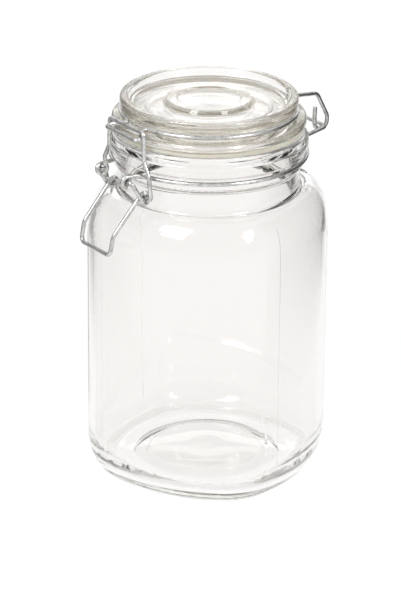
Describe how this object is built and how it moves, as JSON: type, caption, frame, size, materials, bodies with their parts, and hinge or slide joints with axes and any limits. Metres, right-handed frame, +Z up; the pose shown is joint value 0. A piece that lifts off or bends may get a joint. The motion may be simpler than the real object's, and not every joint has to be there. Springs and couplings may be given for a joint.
{
  "type": "clip-top glass storage jar",
  "caption": "Empty clear glass storage jar with rounded-square body, hinged glass lid, rubber gasket and a wire toggle clip, shown shut.",
  "frame": {"origin": "centre of the base, on the surface that the jar stands on", "axes": "+Z up through the lid, -Y towards the clip, +Y towards the lid's hinge, +X to the right seen from the clip"},
  "size_m": [0.1262, 0.1434, 0.2053],
  "materials": {
    "clear_glass": "gloss",
    "wire_steel": "satin",
    "seal_rubber": "matte"
  },
  "bodies": {
    "jar_body": {"jar": "clear_glass", "neck_wire": "wire_steel"},
    "lid_body": {"lid": "clear_glass", "gasket": "seal_rubber", "lid_wire": "wire_steel"},
    "lever_body": {"lever": "wire_steel"},
    "bail_body": {"bail": "wire_steel"}
  },
  "joints": [
    {"name": "lid_hinge", "type": "hinge", "parent": "jar_body", "child": "lid_body", "pos_m": [0, 0.06638, 0.1779], "axis": [-1, 0, 0], "range_deg": [0, 105]},
    {"name": "lever_hinge", "type": "hinge", "parent": "jar_body", "child": "lever_body", "pos_m": [0, -0.05908, 0.1736], "axis": [-1, 0, 0], "range_deg": [0, 70]},
    {"name": "bail_hinge", "type": "hinge", "parent": "lever_body", "child": "bail_body", "pos_m": [0, -0.05008, 0.1635], "axis": [1, 0, 0], "range_deg": [0, 119]}
  ],
  "couplings": [
    {"joint": "lever_hinge", "follows": "lid_hinge", "ratio": 0.6666},
    {"joint": "bail_hinge", "follows": "lid_hinge", "ratio": 1.1333}
  ]
}
